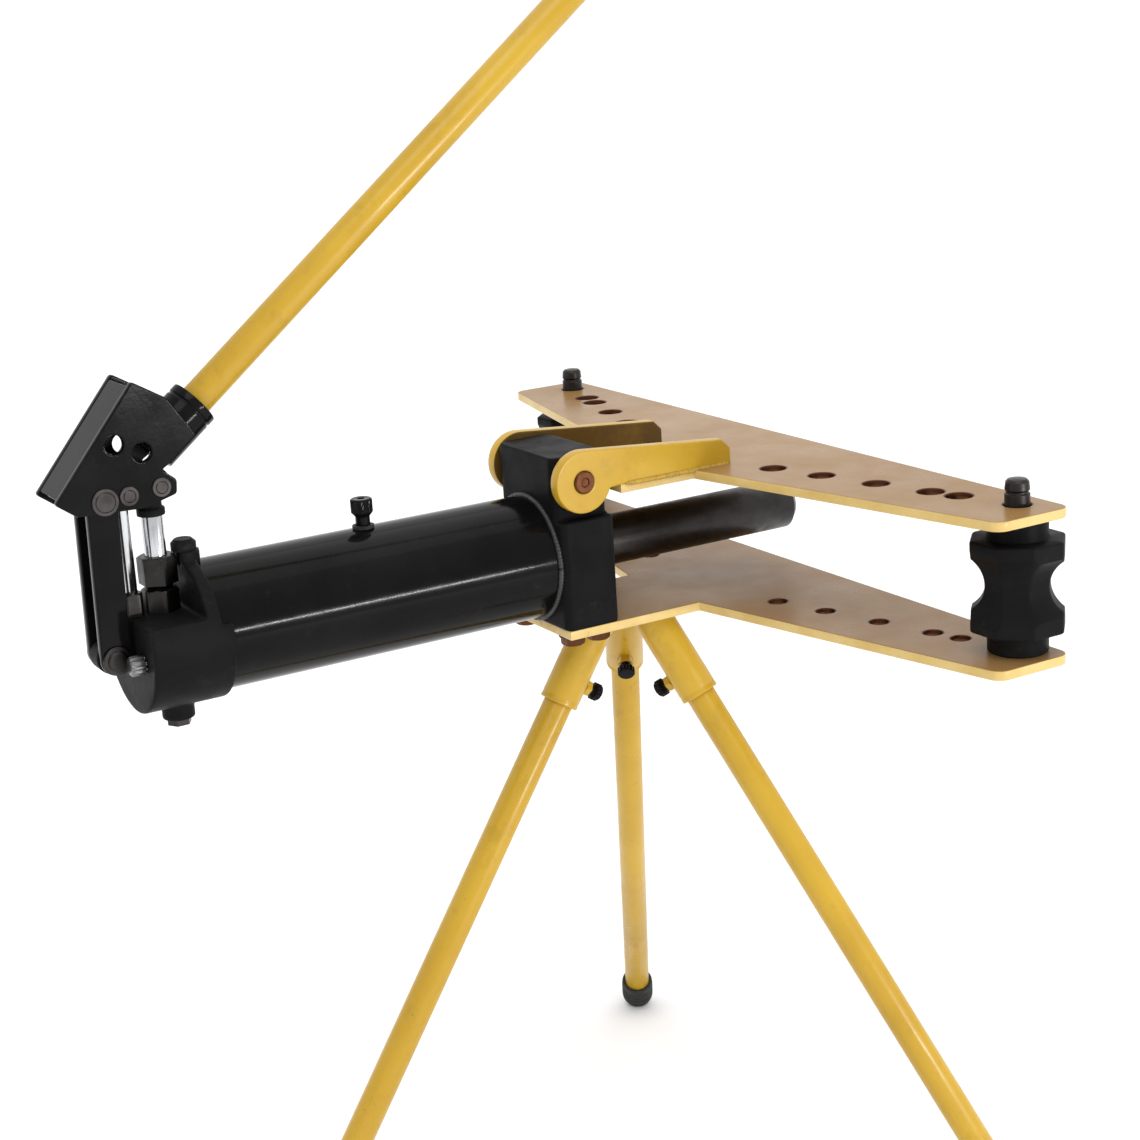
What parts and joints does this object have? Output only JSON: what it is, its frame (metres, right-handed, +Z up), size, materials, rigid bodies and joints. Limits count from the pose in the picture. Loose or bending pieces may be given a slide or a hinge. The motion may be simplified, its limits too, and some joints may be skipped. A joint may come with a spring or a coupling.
{
  "type": "hydraulic pipe bender",
  "caption": "Hand-pumped hydraulic pipe bender on a tripod: horizontal ram and reservoir, pump lever, flip-up upper wing plate, grooved rollers on spindles.",
  "frame": {"origin": "centre of the whole machine's outline, on the floor that its three feet stand on", "axes": "+X is the way the ram pushes, +Y is to the left of that, +Z is up"},
  "size_m": [0.728, 0.744, 1.3107],
  "materials": {
    "black_paint": "gloss",
    "black_casting": "satin",
    "yellow_paint": "gloss",
    "plate_paint": "gloss",
    "chrome": "polished",
    "blackened_steel": "satin",
    "pin_steel": "satin",
    "ground_steel": "ground",
    "bronze": "machined",
    "rubber": "matte"
  },
  "bodies": {
    "frame": {"head_block": "black_casting", "gland_bush": "bronze", "ram_wiper": "rubber", "reservoir_tube": "black_paint", "cylinder_barrel": "ground_steel", "pump_body": "black_casting", "valve_cap": "black_casting", "main_pump_barrel": "blackened_steel", "main_gland_nut": "blackened_steel", "main_packing": "rubber", "small_gland_nut": "blackened_steel", "check_balls": "ground_steel", "check_springs": "ground_steel", "drain_plug": "blackened_steel", "link_pin": "blackened_steel", "lower_wing_plate": "plate_paint", "plate_bolts": "pin_steel", "hinge_pins": "pin_steel", "socket_rear": "yellow_paint", "socket_left": "yellow_paint", "socket_right": "yellow_paint"},
    "ram": {"ram_rod": "blackened_steel", "ram_piston": "ground_steel", "piston_seal": "rubber", "piston_nut": "blackened_steel"},
    "upper_wing": {"upper_wing_plate": "plate_paint", "hinge_arm_left": "yellow_paint", "hinge_arm_right": "yellow_paint"},
    "roller_left": {"roller_left": "black_casting"},
    "roller_right": {"roller_right": "black_casting"},
    "spindle_left": {"spindle_left": "blackened_steel"},
    "spindle_right": {"spindle_right": "blackened_steel"},
    "link": {"link_plates": "black_paint"},
    "lever": {"lever_bracket": "black_paint", "handle_socket": "black_paint", "fulcrum_pin": "blackened_steel", "plunger_pins": "blackened_steel"},
    "handle": {"handle_tube": "yellow_paint", "handle_plug": "rubber"},
    "main_plunger": {"main_plunger": "chrome", "main_plunger_head": "black_casting"},
    "small_plunger": {"small_plunger": "chrome"},
    "release_screw": {"release_screw": "ground_steel"},
    "filler_screw": {"filler_screw": "black_paint", "filler_seal": "rubber"},
    "leg_rear": {"leg_rear": "yellow_paint", "foot_rear": "rubber"},
    "thumb_screw_rear": {"thumb_screw_rear": "black_paint"},
    "leg_left": {"leg_left": "yellow_paint", "foot_left": "rubber"},
    "thumb_screw_left": {"thumb_screw_left": "black_paint"},
    "leg_right": {"leg_right": "yellow_paint", "foot_right": "rubber"},
    "thumb_screw_right": {"thumb_screw_right": "black_paint"}
  },
  "joints": [
    {"name": "ram_slide", "type": "slide", "parent": "frame", "child": "ram", "axis": [1, 0, 0], "range_m": [-0.2, 0.035]},
    {"name": "upper_wing_flip", "type": "hinge", "parent": "frame", "child": "upper_wing", "pos_m": [0.06995, 0, 0.721], "axis": [0, -1, 0], "range_deg": [0, 100]},
    {"name": "roller_left_turn", "type": "hinge", "parent": "frame", "child": "roller_left", "pos_m": [0.29365, 0.336, 0.65], "axis": [0, 0, 1], "continuous": true},
    {"name": "spindle_left_lift", "type": "slide", "parent": "frame", "child": "spindle_left", "axis": [0, 0, 1], "range_m": [0, 0.16]},
    {"name": "roller_right_turn", "type": "hinge", "parent": "frame", "child": "roller_right", "pos_m": [0.29365, -0.336, 0.65], "axis": [0, 0, 1], "continuous": true},
    {"name": "spindle_right_lift", "type": "slide", "parent": "frame", "child": "spindle_right", "axis": [0, 0, 1], "range_m": [0, 0.16]},
    {"name": "lever_swing", "type": "hinge", "parent": "link", "child": "lever", "pos_m": [-0.32605, 0, 0.768], "axis": [0, -1, 0], "range_deg": [-30, 8]},
    {"name": "link_rock", "type": "hinge", "parent": "frame", "child": "link", "pos_m": [-0.32905, 0, 0.642], "axis": [0, -1, 0], "range_deg": [-4, 1]},
    {"name": "main_plunger_slide", "type": "slide", "parent": "frame", "child": "main_plunger", "axis": [0, 0, 1], "range_m": [-0.03, 0.008]},
    {"name": "small_plunger_slide", "type": "slide", "parent": "frame", "child": "small_plunger", "axis": [0, 0, 1], "range_m": [-0.014, 0.004]},
    {"name": "handle_pull", "type": "slide", "parent": "lever", "child": "handle", "axis": [0.7826, 0, 0.6225], "range_m": [0, 0.06]},
    {"name": "release_turn", "type": "hinge", "parent": "frame", "child": "release_screw", "pos_m": [-0.31305, -0.034, 0.64], "axis": [1, 0, 0], "range_deg": [0, 270]},
    {"name": "filler_turn", "type": "hinge", "parent": "frame", "child": "filler_screw", "pos_m": [-0.10605, 0, 0.71], "axis": [0, 0, 1], "continuous": true},
    {"name": "leg_rear_slide", "type": "slide", "parent": "frame", "child": "leg_rear", "axis": [-0.5446, 0, -0.8387], "range_m": [0, 0.07]},
    {"name": "thumb_screw_rear_turn", "type": "hinge", "parent": "frame", "child": "thumb_screw_rear", "pos_m": [0.09378, 0, 0.52075], "axis": [0.8387, 0, -0.5446], "continuous": true},
    {"name": "leg_left_slide", "type": "slide", "parent": "frame", "child": "leg_left", "axis": [0.2723, 0.4717, -0.8387], "range_m": [0, 0.07]},
    {"name": "thumb_screw_left_turn", "type": "hinge", "parent": "frame", "child": "thumb_screw_left", "pos_m": [0.15854, 0.03739, 0.52075], "axis": [-0.4193, -0.7263, -0.5446], "continuous": true},
    {"name": "leg_right_slide", "type": "slide", "parent": "frame", "child": "leg_right", "axis": [0.2723, -0.4717, -0.8387], "range_m": [0, 0.07]},
    {"name": "thumb_screw_right_turn", "type": "hinge", "parent": "frame", "child": "thumb_screw_right", "pos_m": [0.15854, -0.03739, 0.52075], "axis": [-0.4193, 0.7263, -0.5446], "continuous": true}
  ],
  "couplings": [
    {"joint": "link_rock", "follows": "lever_swing", "ratio": 0.08},
    {"joint": "main_plunger_slide", "follows": "lever_swing", "m_per_rad": 0.0465},
    {"joint": "small_plunger_slide", "follows": "lever_swing", "m_per_rad": 0.0195}
  ]
}
